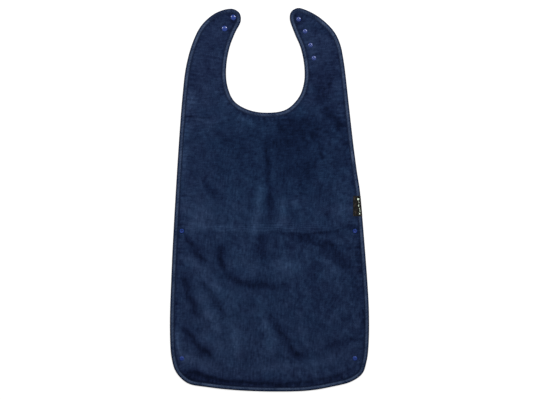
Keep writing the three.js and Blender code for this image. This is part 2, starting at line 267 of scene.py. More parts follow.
def noise_at(points, wavelength, seed, spread=0.35, waves=28):
    """Smooth noise of about that wavelength, from -1 to 1 for the most part."""
    random = np.random.default_rng(seed)
    turn = random.uniform(0, 2 * math.pi, waves)
    length = wavelength * np.exp(random.normal(0, spread, waves))
    phase = random.uniform(0, 2 * math.pi, waves)
    ways = np.stack([np.cos(turn), np.sin(turn)]) * 2 * math.pi / length
    return np.cos(points @ ways + phase).sum(1) / math.sqrt(waves)


def noise_along(distance, wavelength, seed):
    """Smooth noise at those distances along a line."""
    return noise_at(np.stack([distance, np.zeros(len(distance))], 1), wavelength, seed)


def smooth_step(value, low, high):
    t = np.clip((value - low) / (high - low), 0, 1)
    return t * t * (3 - 2 * t)


def curve_through(line, steps=20):
    """Points along a smooth curve through the given ones."""
    given = np.array(line, float)
    ends = np.vstack([2 * given[0] - given[1], given, 2 * given[-1] - given[-2]])
    out = []
    for i in range(1, len(ends) - 2):
        a, b, c, d = ends[i - 1 : i + 3]
        for t in np.linspace(0, 1, steps, endpoint=False):
            out.append(0.5 * (2 * b + (c - a) * t + (2 * a - 5 * b + 4 * c - d) * t * t
                              + (3 * b - a - 3 * c + d) * t ** 3))
    return np.array([*out, given[-1]])


def wandering(points):
    """The points, moved about a little, so that folds drawn from them aren't regular."""
    return points + WANDER * np.stack([noise_at(points, 52, seed) for seed in (1, 2)], 1)


def beside_line(points, line, reach):
    """For the points near a line: which they are, their signed distance, and how far along they are."""
    curve = curve_through(line)
    near = np.where(((points > curve.min(0) - reach) & (points < curve.max(0) + reach)).all(1))[0]
    gap = points[near, None, :] - curve[None, :, :]
    nearest = (gap ** 2).sum(2).argmin(1)
    offset = gap[np.arange(len(near)), nearest]
    along = np.gradient(curve, axis=0)[nearest]
    along /= np.linalg.norm(along, axis=1)[:, None]
    side = np.sign(along[:, 0] * offset[:, 1] - along[:, 1] * offset[:, 0])
    distance = side * np.linalg.norm(offset, axis=1)
    return near, distance, nearest / (len(curve) - 1)


def tapered(along, share=0.3):
    """1 along the middle of a line, falling to 0 over that share of it at each end."""
    return smooth_step(along, 0, share) * smooth_step(1 - along, 0, share)


def add_strokes(field, points, strokes, share=0.3):
    """Adds strokes to a field's values at the points: each one's line, half width and strength."""
    for line, width, strength in strokes:
        near, distance, along = beside_line(points, line, 3 * width)
        field[near] += strength * np.exp(-((distance / width) ** 2)) * tapered(along, share)


def snap_places():
    """Each snap's centre, and whether a domed cap is what it has in front."""
    places = []
    for name in NODES:
        if name.endswith("_cap"):
            low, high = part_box(name)
            places.append((((low + high) / 2 / MM).xy, high.z / MM > THICKNESS))
    return places


SNAPS = snap_places()


def away_from_snaps(points):
    """0 on a snap and 1 well away from all of them."""
    calm = np.ones(len(points))
    for place, _ in SNAPS:
        calm *= smooth_step(np.linalg.norm(points - place, axis=1), 0.55 * SNAP_CALM, SNAP_CALM)
    return calm


def lift(points):
    """How far the cloth stands off the floor."""
    rise = 0.35 + 0.35 * noise_at(points, 90, 11) + 0.26 * noise_at(points, 34, 12)
    strayed = wandering(points)
    for line, height, width, _ in FOLDS:
        near, distance, along = beside_line(strayed, line, 3.5 * width)
        from_crest = distance - 0.5 * width
        reach = np.where(from_crest < 0, STEEP * width, GENTLE * width)
        rise[near] += height * np.exp(-((from_crest / reach) ** 2)) * tapered(along)
    add_strokes(rise, points, [(c["line"], c["reach"], c["beside"]) for c in CREASES])
    soft = np.logaddexp(0, rise * 4) / 4
    return soft * away_from_snaps(points)


def puckers(inset, along):
    """Small gathers that run in from the sewn edge."""
    gathers = 0.7 * noise_along(along, 11, 24) + 0.5 * noise_along(along, 6, 25)
    length = 9 + 9 * smooth_step(noise_along(along, 90, 26), -0.6, 1.2)
    inward = np.clip(inset - TAPE_REACH, 0, None)
    return gathers * np.exp(-inward / length) * smooth_step(inset, TAPE_REACH, TAPE_REACH + 3)


def streak_lines(points):
    """The fine lines above the crosswise crease, from -1 to 1 and fading out at their ends."""
    x, y = points.T
    band = smooth_step(y, STREAK_BOTTOM, STREAK_BOTTOM + 4)
    band *= 1 - smooth_step(y, STREAK_TOP - 8, STREAK_TOP)
    band *= 1 - smooth_step(np.abs(x), STREAK_REACH - 50, STREAK_REACH)
    wander = 1.4 * noise_at(points * [0.25, 1], 40, 23)
    return band * np.cos(2 * math.pi * (y + wander) / STREAK_PITCH)


def press(points, inset, along):
    """How far the nap stands above its usual height, or is pressed below it."""
    change = 0.10 * noise_at(points, 9, 21) + 0.07 * noise_at(points, 4.2, 22)
    add_strokes(change, points, [(c["line"], c["width"], -c["depth"]) for c in CREASES])
    change += STREAK_HEIGHT * streak_lines(points)
    return change + 0.55 * puckers(inset, along)


def nap_and_painted_shade(points, inset, along):
    """How light (above 0) or dark (below 0) the nap lies, with painted shade along the folds and just
    inside the tape, and painted light and shade on the creases, fine lines, puckers and parts of the
    strokes and patches.
    """
    strayed = wandering(points)
    cloudy = 0.5 * noise_at(points, 62, 30) + 0.5 * noise_at(points, 27, 31)
    stroked = 0.4 * noise_at(strayed, 13, 32) + 0.24 * noise_at(strayed, 7, 33)
    upright = noise_at(points * [1, 0.14], 5.2, 34)
    crosswise = noise_at(points * [0.14, 1], 5.2, 35)
    turn = smooth_step(noise_at(points, 80, 36) - (points[:, 1] - 60) / 130, -0.8, 0.8)
    shade = 0.7 * np.tanh(cloudy) + 0.9 * np.tanh(1.1 * stroked)
    shade += 0.44 * (turn * upright + (1 - turn) * crosswise)
    uneven = smooth_step(noise_at(points, 150, 39) + points[:, 0] / 150, -0.6, 1.2)
    shade += 0.7 * uneven * np.tanh(noise_at(strayed, 19, 38))
    for x, y, half_width, half_height, strength in PATCHES:
        far = (strayed - (x, y)) / (half_width, half_height)
        shade += strength * np.exp(-(far ** 2).sum(1))
    # Painted shade along each fold's shaded side.
    fold_shadow_strokes = [(line, 0.6 * width, -darker) for line, _, width, darker in FOLDS]
    # Painted shade along the lengthwise crease, and painted light along the crosswise one.
    crease_light_strokes = [(c["line"], 1.5 * c["width"], -c["shade"]) for c in CREASES]
    add_strokes(shade, strayed, STROKES + fold_shadow_strokes + crease_light_strokes, 0.18)
    # Painted light and shade on the fine lines and puckers, lighter where they stand higher.
    shade += 0.8 * streak_lines(points) + puckers(inset, along)
    # Painted shade in the nap just inside the tape.
    shade -= 1.5 * np.exp(-np.clip(inset - TAPE_REACH, 0, None) / 2.5)
    return shade


def greyness(points):
    """Where the nap looks a little greyer: least on the chest, most on the tabs and by the hem."""
    x, y = points.T
    high = smooth_step(y, 150, 300)
    low = 1 - smooth_step(y, -400, -220)
    sides = smooth_step(np.abs(x - 20), 90, 200)
    chest = np.exp(-(((x - 10) / 130) ** 2) - ((y - 95) / 95) ** 2)
    grey = 0.42 + 0.5 * high + 0.35 * low + 0.28 * sides - 0.75 * chest
    return np.clip(grey + 0.16 * noise_at(points, 48, 37), 0, 1)


# --- The outline, from the CAD's binding ---


def outer_wall():
    """The bottom edges of the binding's outer wall, as pairs of points in millimetres."""
    pairs = []
    for name, node in NODES.items():
        if not name.startswith("binding_"):
            continue
        corners = np.array([v.co for v in node.data.vertices]) / MM
        for face in node.data.polygons:
            own = corners[list(face.vertices)]
            low = own[own[:, 2] < 0.01]
            full_height = len(low) == 2 and own[:, 2].max() > THICKNESS - 0.01
            at_fold = (np.abs(own[:, 1:2] - FOLD_Y).max(0) < 0.2).any()
            if abs(face.normal.z) < 0.01 and full_height and not at_fold:
                pairs.append(low[:, :2])
    return pairs


def outline_corners():
    """The outline's corners in order, anticlockwise, without the ones that the fold slits add."""
    pairs = outer_wall()
    chain = list(pairs.pop())
    while pairs:
        gaps = np.linalg.norm(np.array(pairs) - chain[-1], axis=2)
        nearest = gaps.min(1).argmin()
        chain.append(pairs.pop(nearest)[gaps[nearest].argmax()])
    corners = np.array(chain)
    corners = corners[np.abs(corners[:, 1:] - FOLD_Y).min(1) > 0.3]
    corners = corners[np.linalg.norm(corners - np.roll(corners, 1, 0), axis=1) > 0.1]
    x, y = corners.T
    area = (x * np.roll(y, -1) - y * np.roll(x, -1)).sum()
    return corners if area > 0 else corners[::-1]


def smooth_outline():
    """Even points round the outline, their inward directions, and their distance along it."""
    corners = outline_corners()
    after, before = np.roll(corners, -1, 0), np.roll(corners, 1, 0)
    chords = np.linalg.norm(after - corners, axis=1)
    slopes = (after - before) / (chords + np.roll(chords, 1))[:, None]
    at = np.append(0, np.cumsum(chords))
    count = round(at[-1] / EDGE_STEP)
    where = np.arange(count) * at[-1] / count
    i = np.clip(np.searchsorted(at, where, side="right") - 1, 0, len(corners) - 1)
    j = (i + 1) % len(corners)
    h = chords[i][:, None]
    t = ((where - at[i]) / chords[i])[:, None]
    points = ((2 * t**3 - 3 * t**2 + 1) * corners[i] + (t**3 - 2 * t**2 + t) * h * slopes[i]
              + (3 * t**2 - 2 * t**3) * corners[j] + (t**3 - t**2) * h * slopes[j])
    along = np.roll(points, -1, 0) - np.roll(points, 1, 0)
    along /= np.linalg.norm(along, axis=1)[:, None]
    return points, along[:, ::-1] * [-1, 1], where


EDGE, INWARD, ALONG = smooth_outline()


def from_edge(points):
    """For each point: its nearest place on the outline, and its distance in from there."""
    tree = KDTree(len(EDGE))
    for i, (x, y) in enumerate(EDGE):
        tree.insert((x, y, 0), i)
    tree.balance()
    nearest = np.array([tree.find((x, y, 0))[1] for x, y in points])
    offset = points - EDGE[nearest]
    inside = (offset * INWARD[nearest]).sum(1)
    return nearest, np.sign(inside) * np.linalg.norm(offset, axis=1)


# --- Meshes ---


def put_in_scene(name, data):
    piece = bpy.data.objects.new(name, data)
    bpy.context.scene.collection.objects.link(piece)
    return piece


def make_mesh(name, points, faces, material, uv=None, normals=None, values=None):
    """A smooth mesh from points in millimetres, with flat coordinates in metres for its materials."""
    mesh = bpy.data.meshes.new(name)
    mesh.from_pydata((points * MM).tolist(), [], faces)
    mesh.shade_smooth()
    if uv is not None:
        corners = [corner for face in faces for corner in face]
        layer = mesh.uv_layers.new(name="flat")
        layer.data.foreach_set("uv", (uv[corners] * MM).astype(np.float32).ravel())
    for label, value in (values or {}).items():
        attribute = mesh.attributes.new(label, "FLOAT", "POINT")
        attribute.data.foreach_set("value", value.astype(np.float32))
    mesh.materials.append(MATERIALS[material])
    if normals is not None:
        mesh.normals_split_custom_set_from_vertices(normals.tolist())
    piece = put_in_scene(name, mesh)
    return piece


def four_corners(grid):
    """A grid's values at the four corners of each of its cells."""
    return [grid[:-1, :-1], grid[1:, :-1], grid[:-1, 1:], grid[1:, 1:]]


def grid_faces(grid, kept=True):
    """The cells of a grid of points, or the kept ones, as indices of their corners."""
    rows, wide = grid.shape[:2]
    row, column = np.where(np.broadcast_to(kept, (rows - 1, wide - 1)))
    a = row * wide + column
    return np.stack([a, a + 1, a + wide + 1, a + wide], 1)


def grid_normals(points):
    """Unit normals of a grid of points, on the side that its two directions turn round."""
    across, along = np.gradient(points, axis=1), np.gradient(points, axis=0)
    normals = np.cross(across, along)
    return normals / np.maximum(np.linalg.norm(normals, axis=2), 1e-9)[:, :, None]


def stand_in(piece, kind, parts):
    """Shows a piece in place of the CAD's parts of that kind, and hides those parts."""
    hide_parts(*[f"{kind}_{part}" for part in parts])
    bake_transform(piece)


# --- Materials ---


class Nodes:
    """A material's node tree, with short calls for what these materials repeat."""

    def __init__(self, name):
        self.material = bpy.data.materials.new(name)
        self.material.use_nodes = True
        self.tree = self.material.node_tree
        self.shader = self.tree.nodes["Principled BSDF"]
        self.flat = self.add("ShaderNodeUVMap", "UV", uv_map="flat")

    def feed(self, node, inputs):
        """Sets a node's inputs: an output is linked, and anything else is a value."""
        for name, value in inputs.items():
            if isinstance(value, bpy.types.NodeSocket):
                self.tree.links.new(value, node.inputs[name])
            else:
                node.inputs[name].default_value = value

    def add(self, kind, output, inputs=None, **settings):
        """Adds a node and gives back one of its outputs."""
        node = self.tree.nodes.new(kind)
        for key, value in settings.items():
            setattr(node, key, value)
        self.feed(node, inputs or {})
        return node.outputs[output]

    def set(self, **inputs):
        """Sets the shader's inputs, named with underscores for spaces."""
        self.feed(self.shader, {key.replace("_", " "): value for key, value in inputs.items()})

    def attribute(self, name):
        return self.add("ShaderNodeAttribute", "Fac", attribute_name=name)

    def stretched(self, x, y):
        return self.add("ShaderNodeMapping", "Vector", {"Vector": self.flat, "Scale": (x, y, 1)})

    def in_object(self):
        return self.add("ShaderNodeTexCoord", "Object")

    def noise(self, vector, scale, detail=2, roughness=0.6):
        return self.add("ShaderNodeTexNoise", "Fac", {
            "Vector": vector, "Scale": scale, "Detail": detail, "Roughness": roughness})

    def wave(self, vector, scale, direction, distortion):
        return self.add("ShaderNodeTexWave", "Fac", {
            "Vector": vector, "Scale": scale, "Distortion": distortion}, bands_direction=direction)

    def weave(self, scale, distortion):
        """Warp and weft, as high as both of them are."""
        ways = [self.wave(self.flat, scale, way, distortion) for way in "XY"]
        return self.math("MULTIPLY", *ways)

    def math(self, operation, *values):
        return self.add("ShaderNodeMath", "Value", dict(enumerate(values)), operation=operation)

    def scaled(self, value, factor, offset=0.0):
        return self.math("MULTIPLY_ADD", value, factor, offset)

    def total(self, first, *others):
        for other in others:
            first = self.math("ADD", first, other)
        return first

    def ramp(self, value, *stops):
        """A colour for each value, from stops of a position and a colour."""
        color = self.add("ShaderNodeValToRGB", "Color", {"Fac": value})
        elements = color.node.color_ramp.elements
        while len(elements) < len(stops):
            elements.new(0.5)
        for element, (position, rgb) in zip(elements, stops):
            element.position = position
            element.color = (*rgb, 1)
        return color

    def tint(self, color, share, factor):
        """The colour multiplied by a factor, as far as the share says."""
        return self.add("ShaderNodeMix", "Result", {"Factor": share, "A": color, "B": (*factor, 1)},
                        data_type="RGBA", blend_type="MULTIPLY")

    def bumped(self, height, distance, strength):
        """The finished material, with a bump of that distance in millimetres."""
        self.set(Normal=self.add("ShaderNodeBump", "Normal", {
            "Height": height, "Distance": distance * MM, "Strength": strength}))
        return self.material


def pile_material():
    """Napped velour, lighter or darker where the nap has been stroked or crushed. The shade attribute
    also carries painted light and shade of folds, creases, wrinkles, fine lines and puckers.
    """
    m = Nodes("navy_pile")
    tufts = m.noise(m.flat, 900, detail=4, roughness=0.7)
    fibres = m.noise(m.flat, 3200)
    brushed = m.total(*(m.noise(m.stretched(*way), 420) for way in ((1, 0.22), (0.22, 1))))
    shade = m.total(m.scaled(m.attribute("shade"), 0.14, 0.458), m.scaled(brushed, 0.42, -0.42),
                    m.scaled(tufts, 0.30, -0.15), m.scaled(fibres, 0.7, -0.35))
    color = m.ramp(shade, (0.0, (0.0008, 0.0028, 0.0120)), (0.25, (0.0026, 0.0070, 0.0240)),
                   (0.5, (0.0055, 0.0143, 0.0388)), (0.75, (0.0104, 0.0248, 0.0585)),
                   (1.0, (0.0182, 0.0405, 0.0870)))
    m.set(Base_Color=m.tint(color, m.attribute("grey"), (1.36, 1.0, 1.0)), Roughness=0.95,
          Sheen_Weight=0.04, Sheen_Roughness=0.45, Sheen_Tint=(0.45, 0.58, 0.85, 1),
          Specular_IOR_Level=0.05)
    return m.bumped(m.total(tufts, fibres, m.scaled(brushed, 0.5)), 0.5, 0.8)


def tape_material():
    """Satin binding with fine ribs across it. How dark each place is comes with the mesh: painted shade
    on the rolled edge and by the seam, and painted light and shade on the slanting ribs.
    """
    m = Nodes("satin_tape")
    ribs = m.wave(m.flat, 520, "X", 1.2)
    cloudy = m.noise(m.flat, 160)
    shade = m.total(m.scaled(cloudy, 0.30, -0.15), m.scaled(ribs, 0.10, -0.05), m.attribute("across"))
    color = m.ramp(shade, (0.0, (0.0014, 0.0038, 0.0145)), (0.3, (0.0056, 0.0118, 0.0325)),
                   (0.65, (0.0205, 0.0325, 0.0650)), (1.0, (0.0350, 0.0505, 0.0900)))
    m.set(Base_Color=color, Roughness=0.5, Specular_IOR_Level=0.04)
    return m.bumped(m.total(ribs, cloudy), 0.06, 0.5)


def backing_material():
    """Close plain weave under a thin waterproof coating."""
    m = Nodes("coated_backing")
    weave = m.weave(420, 0.3)
    cloudy = m.noise(m.flat, 45, detail=3)
    color = m.ramp(m.scaled(weave, 0.25, m.scaled(cloudy, 0.7)),
                   (0.1, (0.0060, 0.0125, 0.0350)), (0.9, (0.0140, 0.0270, 0.0700)))
    m.set(Base_Color=color, Roughness=m.scaled(cloudy, 0.2, 0.48), Specular_IOR_Level=0.06)
    return m.bumped(m.total(weave, m.scaled(cloudy, 0.6)), 0.12, 0.6)


def thread_material():
    """Twisted sewing thread."""
    m = Nodes("navy_thread")
    twist = m.wave(m.flat, 1400, "DIAGONAL", 0.2)
    color = m.ramp(twist, (0.2, (0.0040, 0.0090, 0.0280)), (0.9, (0.0110, 0.0210, 0.0540)))
    m.set(Base_Color=color, Roughness=0.7, Specular_IOR_Level=0.1)
    return m.bumped(twist, 0.05, 0.6)


def label_material():
    """Woven label, flecked with brown, a little more so over the cloth than over the tape."""
    m = Nodes("woven_label")
    flecks = m.noise(m.stretched(1.0, 0.4), 330, roughness=0.7)
    shade = m.total(m.scaled(m.attribute("inner"), 0.14, -0.95), m.scaled(flecks, 2.4))
    color = m.ramp(shade, (0.15, (0.0012, 0.0012, 0.0014)), (0.45, (0.0045, 0.0038, 0.0034)),
                   (0.8, (0.0260, 0.0190, 0.0150)))
    m.set(Base_Color=color, Roughness=0.8, Specular_IOR_Level=0.15)
    return m.bumped(m.weave(640, 0.2), 0.12, 0.7)


def mark_material():
    """Pale embroidered marks."""
    m = Nodes("pale_marks")
    grain = m.wave(m.flat, 900, "Y", 0.3)
    color = m.ramp(grain, (0.1, (0.34, 0.42, 0.34)), (0.9, (0.50, 0.58, 0.48)))
    m.set(Base_Color=color, Roughness=0.7)
    return m.bumped(grain, 0.05, 0.5)


def snap_material(name, roughness, gloss):
    """Moulded blue plastic with faint wear."""
    m = Nodes(name)
    wear = m.noise(m.in_object(), 700, detail=3)
    color = m.ramp(wear, (0.3, (0.0060, 0.0205, 0.1180)), (0.75, (0.0105, 0.0305, 0.1650)))
    m.set(Base_Color=color, Roughness=m.scaled(wear, 0.12, roughness), Specular_IOR_Level=gloss,
          Coat_Weight=gloss / 2, Coat_Roughness=0.15)
    return m.bumped(wear, 0.02, 0.3)


def floor_material():
    """White, and glowing a little as a light table does, so that it shows no hard shadow."""
    m = Nodes("pale_floor")
    grain = m.noise(m.in_object(), 3)
    color = m.ramp(grain, (0.3, (0.19, 0.19, 0.19)), (0.7, (0.21, 0.21, 0.21)))
    m.set(Base_Color=color, Roughness=0.9, Specular_IOR_Level=0.1,
          Emission_Color=(1, 1, 1, 1), Emission_Strength=0.8)
    return m.material


MATERIALS = {
    "pile": pile_material(),
    "tape": tape_material(),
    "backing": backing_material(),
    "thread": thread_material(),
    "label": label_material(),
    "marks": mark_material(),
    "tab_cap": snap_material("blue_snap", 0.11, 0.34),
    "tab_stud": snap_material("soft_blue_snap", 0.3, 0.5),
    "side_snap": snap_material("dulled_blue_snap", 0.34, 0.14),
    "floor": floor_material(),
}

# --- Cloth ---

# Each piece of cloth crosses one fold line: its low and high corners, the joint, and the CAD panels
# it shows.
FAR = 900
CLOTH_PIECES = {
    "lower": ((-FAR, -FAR), (FAR, MIDDLE_BOTTOM), "pocket_fold", ["lap", "pocket"]),
    "middle": ((-FAR, MIDDLE_BOTTOM), (FAR, MIDDLE_TOP), "half_fold", ["chest", "lap"]),
    "upper_left": ((-FAR, MIDDLE_TOP), (CENTRE_X, FAR), "left_tab_fold", ["left_tab", "chest"]),
    "upper_right": ((CENTRE_X, MIDDLE_TOP), (FAR, FAR), "right_tab_fold", ["right_tab", "chest"]),
}


def cloth_grid(spacing):
    """A square grid over the bib, as rows of points. The pieces meet along its lines."""
    spans = []
    for low, high, line in zip(CAD_BOX[0] / MM, CAD_BOX[1] / MM, (CENTRE_X, MIDDLE_BOTTOM)):
        first, last = math.floor((low - line) / spacing), math.ceil((high - line) / spacing)
        spans.append(line + spacing * np.arange(first, last + 1))
    return np.stack(np.meshgrid(*spans), 2)


def kept_cells(inside):
    """Which cells of the grid are cloth, and which points lie on the cut edge."""
    cells = np.all(four_corners(inside), 0)
    around = four_corners(np.pad(cells, 1))
    return cells, (np.any(around, 0) & ~np.all(around, 0)).ravel()


def snap_hollow(points, height, radius, at_cap, at_other):
    """The cloth's height, changed where each snap pulls it in."""
    for place, cap_in_front in SNAPS:
        distance = np.linalg.norm(points - place, axis=1)
        share = smooth_step(distance, radius, radius + HOLLOW_SLOPE)
        height = height * share + (at_cap if cap_in_front else at_other) * (1 - share)
    return height


def face_height(points, inset, along):
    """The top of the nap. It is squeezed under the tape and under the snaps."""
    share = smooth_step(inset, TAPE_REACH - 0.9, TAPE_REACH + 0.8)
    nap = NAP_TOP + press(points, inset, along)
    return snap_hollow(points, UNDER_TAPE * (1 - share) + nap * share, *FACE_HOLLOW)


def backing_height(points, inset):
    """The underside. It is above the tape's back leg at the edge, and hollow over the snaps."""
    share = smooth_step(inset, TAPE_REACH - 0.2, TAPE_REACH + 1.2)
    return snap_hollow(points, OVER_TAPE * (1 - share), *BACK_HOLLOW)


def make_cloth(kind, spacing):
    """The whole face or backing, made as one surface and parted between the fold lines."""
    face_up = kind == "face"
    grid = cloth_grid(spacing)
    flat = grid.reshape(-1, 2).copy()
    nearest, inset = from_edge(flat)
    cells, rim = kept_cells((inset > CLOTH_INSET).reshape(grid.shape[:2]))
    edge = EDGE[nearest[rim]]
    flat[rim] = edge + (flat[rim] - edge) * (CLOTH_INSET / inset[rim])[:, None]
    inset[rim] = CLOTH_INSET
    along = ALONG[nearest]
    height = face_height(flat, inset, along) if face_up else backing_height(flat, inset)
    values = {"shade": nap_and_painted_shade(flat, inset, along), "grey": greyness(flat)} if face_up else {}
    solid = np.column_stack([flat, lift(flat) + height])
    normals = grid_normals(solid.reshape(*grid.shape[:2], 3)).reshape(-1, 3)
    material, way = ("pile", 1) if face_up else ("backing", -1)
    middles = np.mean(four_corners(grid), 0)
    made = {}
    for name, (low, high, joint, panels) in CLOTH_PIECES.items():
        own = cells & ((middles > low) & (middles < high)).all(2)
        used, faces = np.unique(grid_faces(grid, own)[:, ::way], return_inverse=True)
        faces = faces.reshape(-1, 4)
        piece = make_mesh(f"{kind}_{name}", solid[used], faces.tolist(), material,
                          uv=flat[used], normals=way * normals[used],
                          values={label: value[used] for label, value in values.items()})
        stand_in(piece, kind, panels)
        made[name] = (piece, flat[used], faces)
    return made


# --- Binding ---

# The pieces of binding, anticlockwise from the hem: each one's name and joint, and what it shows of
# the CAD's binding and of its seam thread.
RUNS = [
    ("hem", "pocket_fold", ["pocket", "lap_left", "lap_right"], ["pocket", "lap_left", "lap_right"]),
    ("right_side", "half_fold", ["lap_right", "chest_right"],
     ["lap_right", "above_label", "below_label"]),
    ("right_tab", "right_tab_fold", ["right_tab", "neckline", "chest_right"],
     ["right_tab", "neckline", "above_label"]),
    ("left_tab", "left_tab_fold", ["left_tab", "neckline", "chest_left"],
     ["left_tab", "neckline", "chest_left"]),
    ("left_side", "half_fold", ["lap_left", "chest_left"], ["lap_left", "chest_left"]),
]


def edge_place(x_sign, y):
    """The place on the left or right side of the outline at a height."""
    side = np.where(EDGE[:, 0] * x_sign > 0.6 * np.abs(EDGE[:, 0]).max(), 0, 1e6)
    return int(np.argmin(np.abs(EDGE[:, 1] - y) + side))


def neckline_place():
    """The lowest place of the neckline."""
    low_side = np.where((np.abs(EDGE[:, 0] - CENTRE_X) < 60) & (EDGE[:, 1] > 0), 0, 1e6)
    return int(np.argmin(EDGE[:, 1] + low_side))


def run_ends():
    """The outline's places where each piece of binding starts and ends."""
    left, right = ([edge_place(side, y) for y in (MIDDLE_BOTTOM, MIDDLE_TOP)] for side in (-1, 1))
    starts = [left[0], *right, neckline_place(), left[1]]
    return zip(starts, starts[1:] + starts[:1])


def places_between(first, last):
    """The outline's places from one to another, anticlockwise."""
    count = (last - first) % len(EDGE)
    return (first + np.arange(count + 1)) % len(EDGE)


def tape_ribs(along, inset):
    """The slanting puckers in the tape, from -1 to 1."""
    return np.sin(2 * math.pi * (along + RIB_SLANT * inset) / RIB_PITCH)


def binding_surface():
    """The whole binding as a grid of points, with one cross-section at each place of the outline."""
    ripple = noise_along(ALONG, 11, 41)
    sway = noise_along(ALONG, 17, 42)
    swell = 0.6 + 0.4 * noise_along(ALONG, 30, 43)
    pull = np.cos(2 * math.pi * ALONG / STITCH_PITCH)
    rows = []
    for inset, height in TAPE_SECTION:
        front = 1.0 if height > 1.5 else 0.25
        loose = math.exp(-(((inset - 4.5) / 3.0) ** 2))
        seam = math.exp(-(((inset - SEAM_INSET) / 0.9) ** 2))
        place = EDGE + INWARD * (inset + 0.22 * sway * smooth_step(inset, 7, 9.5))[:, None]
        ribs = swell * tape_ribs(ALONG, inset)
        change = (0.12 * ripple + 0.13 * ribs) * loose - 0.1 * pull * seam
        rows.append(np.column_stack([place, lift(place) + height + front * change]))
    return np.stack(rows, 1)


def tape_shade(places, along):
    """How light the tape is: painted shade on the rolled edge, by the seam and past it under the nap's
    edge, painted light and shade on the slanting ribs between them, and a tone that drifts along it and
    is darker round the tabs' tips.
    """
    inset, height = TAPE_SECTION.T
    # Painted shade: dark on the rolled edge, by the seam and past it, lighter on the flat band between;
    # the back leg stays even.
    band = smooth_step(inset, 1.8, 3.8) * (1 - smooth_step(inset, 7.0, 7.9))
    base = np.where(height > UNDER_TAPE / 2, 0.17 + 0.43 * band, 0.3)
    base = np.where(inset > 8.2, 0.15, base)
    # Painted light and shade on the slanting ribs, in step with their heights.
    bars = 0.09 * tape_ribs(along[:, None], inset) * band
    tone_along = 0.12 * noise_along(ALONG[places], 40, 44) + 0.08 * noise_along(ALONG[places], 9, 45)
    tone_along -= 0.26 * smooth_step(EDGE[places][:, 1], TIP_Y - 14, TIP_Y + 10)
    return (base + bars + tone_along[:, None] * band).ravel()


def make_binding():
    """The tape, made as one surface that closes on itself and parted between the fold lines."""
    surface = binding_surface()
    wrapped = np.concatenate([surface[-2:], surface, surface[:2]])
    normals = grid_normals(wrapped)[2:-2]
    made = {}
    for (name, joint, parts, _), (first, last) in zip(RUNS, run_ends()):
        places = places_between(first, last)
        along = ALONG[first] + np.arange(len(places)) * EDGE_STEP
        uv = np.stack(np.meshgrid(along, UNROLLED, indexing="ij"), 2).reshape(-1, 2)
        own = surface[places]
        piece = make_mesh(f"binding_{name}_tape", own.reshape(-1, 3), grid_faces(own).tolist(), "tape",
                          uv=uv, normals=normals[places].reshape(-1, 3),
                          values={"across": tape_shade(places, along)})
        stand_in(piece, "binding", parts)
        made[name] = (piece, (len(places) - 1) * EDGE_STEP)
    return made


# --- Stitches ---

STITCH_SIDES = 6
# A stitch's rings: share of its half length, share of its radius, and how far it dips.
STITCH_RINGS = [(-1.0, 0.35, 0.34), (-0.72, 0.85, 0.12), (-0.3, 1.0, 0.0), (0.3, 1.0, 0.0),
                (0.72, 0.85, 0.12), (1.0, 0.35, 0.34)]


def stitch_centres(first, last):
    """Where the stitches of a run are, and which way they point."""
    length = (last - first) % len(EDGE) * EDGE_STEP
    count = int(length / STITCH_PITCH)
    at = ALONG[first] + (np.arange(count) + 0.5) * length / count
    place = np.round(at / EDGE_STEP).astype(int) % len(EDGE)
    inward = INWARD[place]
    return EDGE[place] + inward * SEAM_INSET, inward[:, ::-1] * [1, -1], inward


def stitch_points(centres, along, inward, height, dip, length=STITCH_LENGTH):
    """The vertices of all the stitches of a run, ring by ring."""
    turns = np.arange(STITCH_SIDES) * 2 * math.pi / STITCH_SIDES
    rings = []
    for share, width, down in STITCH_RINGS:
        middle = centres + along * share * length / 2
        for turn in turns:
            side = math.cos(turn) * STITCH_RADIUS * width
            up = math.sin(turn) * STITCH_RADIUS * width - down * dip
            rings.append(np.column_stack([middle + inward * side, height + up]))
    return np.stack(rings, 1)


def stitch_faces(count):
    """The faces of that many stitches, each closed at both ends."""
    n, rings = STITCH_SIDES, len(STITCH_RINGS)
    one = [[r * n + k, r * n + (k + 1) % n, (r + 1) * n + (k + 1) % n, (r + 1) * n + k]
           for r in range(rings - 1) for k in range(n)]
    ends = [list(range(n))[::-1], [(rings - 1) * n + k for k in range(n)]]
    return [[i * n * rings + v for v in face] for i in range(count) for face in one + ends]


def make_stitches():
    """The seam's stitches, in front and behind, as one piece for each piece of binding."""
    made = {}
    for (name, joint, _, parts), (first, last) in zip(RUNS, run_ends()):
        centres, along, inward = stitch_centres(first, last)
        rise = lift(centres)
        rows = [stitch_points(centres, along, inward, rise + height, dip)
                for height, dip in STITCH_ROWS]
        points = np.concatenate(rows).reshape(-1, 3)
        piece = make_mesh(f"stitches_{name}", points, stitch_faces(len(rows) * len(centres)),
                          "thread", uv=points[:, :2])
        stand_in(piece, "seam_thread", parts)
        made[name] = piece
    return made


# --- Label ---

LABEL_LIFT = 0.35  # the label's height over what it lies on
LABEL_SPAN = np.linspace(1, 0.08, 16)  # its rows, as shares of the way from the edge to its inner side
# Where it passes from the tape to the cloth: distance in from the edge, and height.
LABEL_STEP = [(8.8, 3.5), (12.0, THICKNESS + 0.1)]
# Where it wraps round the edge, in the same way.
LABEL_WRAP = [(0.2, 3.0), (-0.35, 2.4), (-0.65, 1.7), (-0.55, 1.0), (0.0, 0.5)]
# Satin-stitched marks: distance in from the edge and down from the label's top, width and length.
# The first is a dot and the rest are a column of bars.
MARKS = [(5.4, 7.2, 5.0, 5.0), (4.6, 14.4, 1.4, 2.4), (5.6, 21.4, 2.6, 3.2), (4.2, 28.2, 1.6, 3.4),
         (4.0, 33.4, 1.6, 3.6), (5.0, 39.0, 2.8, 3.0)]
MARK_PITCH = 0.42
MARK_LIFT = 0.08


